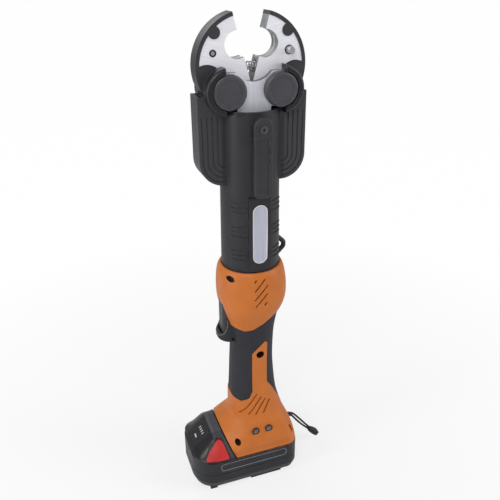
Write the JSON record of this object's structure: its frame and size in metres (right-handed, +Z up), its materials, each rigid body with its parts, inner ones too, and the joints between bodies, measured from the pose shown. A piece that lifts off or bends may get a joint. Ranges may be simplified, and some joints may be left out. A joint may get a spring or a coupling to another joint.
{
  "type": "battery crimping tool",
  "caption": "Inline battery hydraulic crimping tool: slide-on pack, trigger grip, swivelling barrel and two roller-driven jaws that close on a die nest.",
  "frame": {"origin": "where the tool axis meets the floor under the battery pack", "axes": "+Z up the tool axis to the jaws, -X the trigger side, -Y the side of the rating plate"},
  "size_m": [0.1565, 0.075, 0.4736],
  "materials": {
    "black_plastic": "fine moulded grain",
    "soft_grip": "textured soft overmould",
    "orange_plastic": "satin moulded",
    "red_plastic": "satin moulded",
    "black_steel": "black oxide, forged",
    "bright_steel": "milled and brushed",
    "spring_steel": "drawn wire",
    "plate_silver": "satin, bare",
    "cast_body": "as machined",
    "seal_rubber": "smooth",
    "copper_parts": "plain",
    "board_green": "lacquered",
    "light_lens": "frosted lens",
    "gauge_grey": "smooth panel",
    "cell_wrap": "shrink wrap",
    "strap_cord": "woven nylon"
  },
  "bodies": {
    "handle": {"housing_near": "orange_plastic", "housing_far": "orange_plastic", "grip_near": "soft_grip", "grip_far": "soft_grip", "housing_screws": "black_steel", "motor_can": "bright_steel", "gearbox_housing": "cast_body", "trigger_switch": "black_plastic", "trigger_pin": "bright_steel", "control_board": "board_green", "indicator_lights": "light_lens", "terminal_block": "black_plastic", "swivel_ring": "black_plastic", "strap_pin": "bright_steel", "wrist_strap": "strap_cord", "strap_tab": "strap_cord"},
    "motor_rotor": {"motor_rotor": "bright_steel"},
    "drive_shaft": {"drive_shaft": "bright_steel"},
    "trigger": {"trigger": "black_plastic"},
    "battery": {"battery_tray": "black_plastic", "battery_cover": "black_plastic", "battery_cells": "cell_wrap", "battery_contacts": "copper_parts", "battery_screws": "black_steel", "charge_gauge": "gauge_grey"},
    "latch_button_near": {"latch_button_near": "red_plastic"},
    "latch_button_far": {"latch_button_far": "red_plastic"},
    "gauge_button": {"gauge_button": "seal_rubber"},
    "head": {"barrel_near": "black_plastic", "barrel_far": "black_plastic", "guard_screws": "black_steel", "link_plate_near": "bright_steel", "link_plate_far": "bright_steel", "frame_pins": "bright_steel", "pivot_pins": "black_steel", "pivot_caps": "black_steel", "cylinder": "bright_steel", "gland_nut": "bright_steel", "pump_block": "cast_body", "pump_piston": "bright_steel", "oil_bladder": "seal_rubber", "lever_pin": "bright_steel", "rating_plate": "plate_silver", "hang_loop": "black_steel", "jaw_spring": "spring_steel"},
    "release_lever": {"release_lever": "black_plastic", "lever_screw": "black_steel"},
    "release_plunger": {"release_plunger": "bright_steel"},
    "ram": {"ram": "bright_steel", "piston_seal": "seal_rubber", "roller_pins": "bright_steel", "return_spring": "spring_steel"},
    "left_roller": {"left_roller": "bright_steel"},
    "right_roller": {"right_roller": "bright_steel"},
    "left_jaw": {"left_jaw": "black_steel"},
    "right_jaw": {"right_jaw": "black_steel"},
    "left_die_pin": {"left_die_pin": "bright_steel"},
    "right_die_pin": {"right_die_pin": "bright_steel"}
  },
  "joints": [
    {"name": "battery_slide", "type": "slide", "parent": "handle", "child": "battery", "axis": [-1, 0, 0], "range_m": [0, 0.07]},
    {"name": "latch_near_press", "type": "slide", "parent": "battery", "child": "latch_button_near", "axis": [0, 1, 0], "range_m": [0, 0.003], "stiffness_N_per_m": 1500, "springref_m": -0.002},
    {"name": "latch_far_press", "type": "slide", "parent": "battery", "child": "latch_button_far", "axis": [0, -1, 0], "range_m": [0, 0.003], "stiffness_N_per_m": 1500, "springref_m": -0.002},
    {"name": "gauge_press", "type": "slide", "parent": "battery", "child": "gauge_button", "axis": [0.638, 0, -0.77], "range_m": [0, 0.0008], "stiffness_N_per_m": 1500, "springref_m": -0.001},
    {"name": "trigger_pull", "type": "hinge", "parent": "handle", "child": "trigger", "pos_m": [-0.025, 0, 0.2165], "axis": [0, -1, 0], "range_deg": [0, 5.5], "stiffness_Nm_per_rad": 2, "springref_deg": -5.73},
    {"name": "motor_spin", "type": "hinge", "parent": "handle", "child": "motor_rotor", "pos_m": [0, 0, 0.185], "axis": [0, 0, 1], "continuous": true},
    {"name": "drive_spin", "type": "hinge", "parent": "handle", "child": "drive_shaft", "pos_m": [0, 0, 0.22], "axis": [0, 0, 1], "continuous": true},
    {"name": "head_swivel", "type": "hinge", "parent": "handle", "child": "head", "pos_m": [0, 0, 0.24], "axis": [0, 0, 1], "range_deg": [-175, 175]},
    {"name": "release_press", "type": "hinge", "parent": "head", "child": "release_lever", "pos_m": [0, -0.0284, 0.3851], "axis": [1, 0, 0], "range_deg": [0, 4], "stiffness_Nm_per_rad": 2, "springref_deg": -5.73},
    {"name": "plunger_press", "type": "slide", "parent": "head", "child": "release_plunger", "axis": [0, 1, 0], "range_m": [0, 0.00364]},
    {"name": "ram_stroke", "type": "slide", "parent": "head", "child": "ram", "axis": [0, 0, 1], "range_m": [0, 0.024], "stiffness_N_per_m": 800, "springref_m": -0.02, "deforming": ["return_spring", "jaw_spring"]},
    {"name": "left_jaw_turn", "type": "hinge", "parent": "head", "child": "left_jaw", "pos_m": [-0.0227, 0, 0.413], "axis": [0, 1, 0], "range_deg": [0, 15.51]},
    {"name": "right_jaw_turn", "type": "hinge", "parent": "head", "child": "right_jaw", "pos_m": [0.0227, 0, 0.413], "axis": [0, 1, 0], "range_deg": [-15.51, 0]},
    {"name": "left_roller_spin", "type": "hinge", "parent": "ram", "child": "left_roller", "pos_m": [-0.0085, 0, 0.3655], "axis": [0, 1, 0], "range_deg": [0, 197.4]},
    {"name": "right_roller_spin", "type": "hinge", "parent": "ram", "child": "right_roller", "pos_m": [0.0085, 0, 0.3655], "axis": [0, 1, 0], "range_deg": [-197.4, 0]},
    {"name": "left_die_press", "type": "slide", "parent": "left_jaw", "child": "left_die_pin", "axis": [0, -1, 0], "range_m": [0, 0.004], "stiffness_N_per_m": 1500, "springref_m": -0.002},
    {"name": "right_die_press", "type": "slide", "parent": "right_jaw", "child": "right_die_pin", "axis": [0, 1, 0], "range_m": [0, 0.004], "stiffness_N_per_m": 1500, "springref_m": -0.002}
  ],
  "couplings": [
    {"joint": "drive_spin", "follows": "motor_spin", "ratio": 0.083333},
    {"joint": "plunger_press", "follows": "release_press", "m_per_rad": 0.052},
    {"joint": "left_jaw_turn", "follows": "ram_stroke", "rad_per_m": 11.272},
    {"joint": "right_jaw_turn", "follows": "ram_stroke", "rad_per_m": -11.272},
    {"joint": "left_roller_spin", "follows": "ram_stroke", "rad_per_m": 142.86},
    {"joint": "right_roller_spin", "follows": "ram_stroke", "rad_per_m": -142.86}
  ]
}
